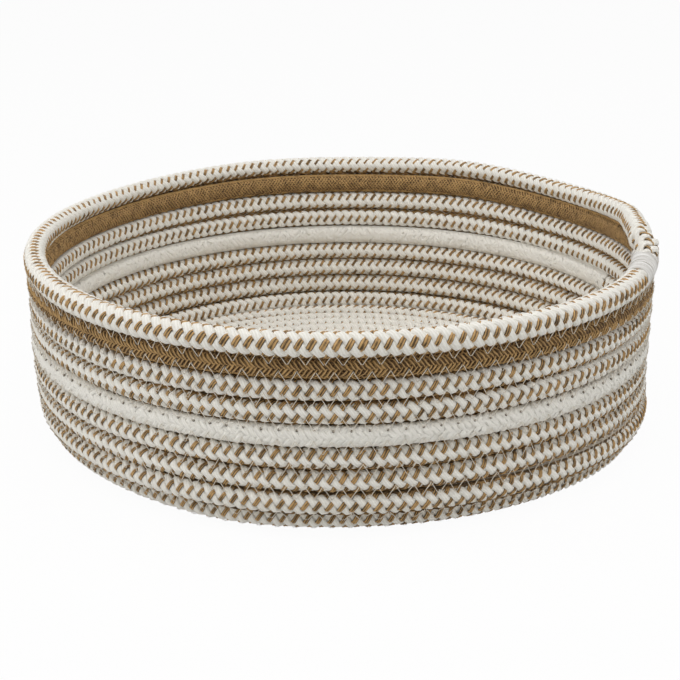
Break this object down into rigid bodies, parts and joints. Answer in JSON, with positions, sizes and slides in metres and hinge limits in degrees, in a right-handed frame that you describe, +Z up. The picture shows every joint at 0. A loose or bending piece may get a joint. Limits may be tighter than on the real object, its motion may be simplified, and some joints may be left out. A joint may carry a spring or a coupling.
{
  "type": "coiled rope basket",
  "caption": "Low round basket coiled from braided paper and cotton cord, with a flat base and an upright wall sewn course to course, open at the top for small household things.",
  "frame": {"origin": "middle of the underside, on the surface that the basket stands on", "axes": "+Z up out of the open top, along the axis of the winding; +X towards the side where the cords join and the rim ends"},
  "size_m": [0.2967, 0.2967, 0.0984],
  "materials": {
    "mixed_cord": "braided from white cotton and tan twisted paper strands, matt",
    "white_cord": "braided white cotton, matt, slightly fuzzy",
    "tan_cord": "braided tan twisted paper yarn, matt, fibrous",
    "sewing_thread": "off-white polyester sewing thread"
  },
  "bodies": {
    "root": {"base_and_wall_cord": "mixed_cord", "white_band_cord": "white_cord", "upper_wall_cord": "mixed_cord", "tan_band_cord": "tan_cord", "rim_cord": "mixed_cord", "needle_thread": "sewing_thread", "bobbin_thread": "sewing_thread", "rim_end_tack": "sewing_thread"}
  },
  "joints": []
}
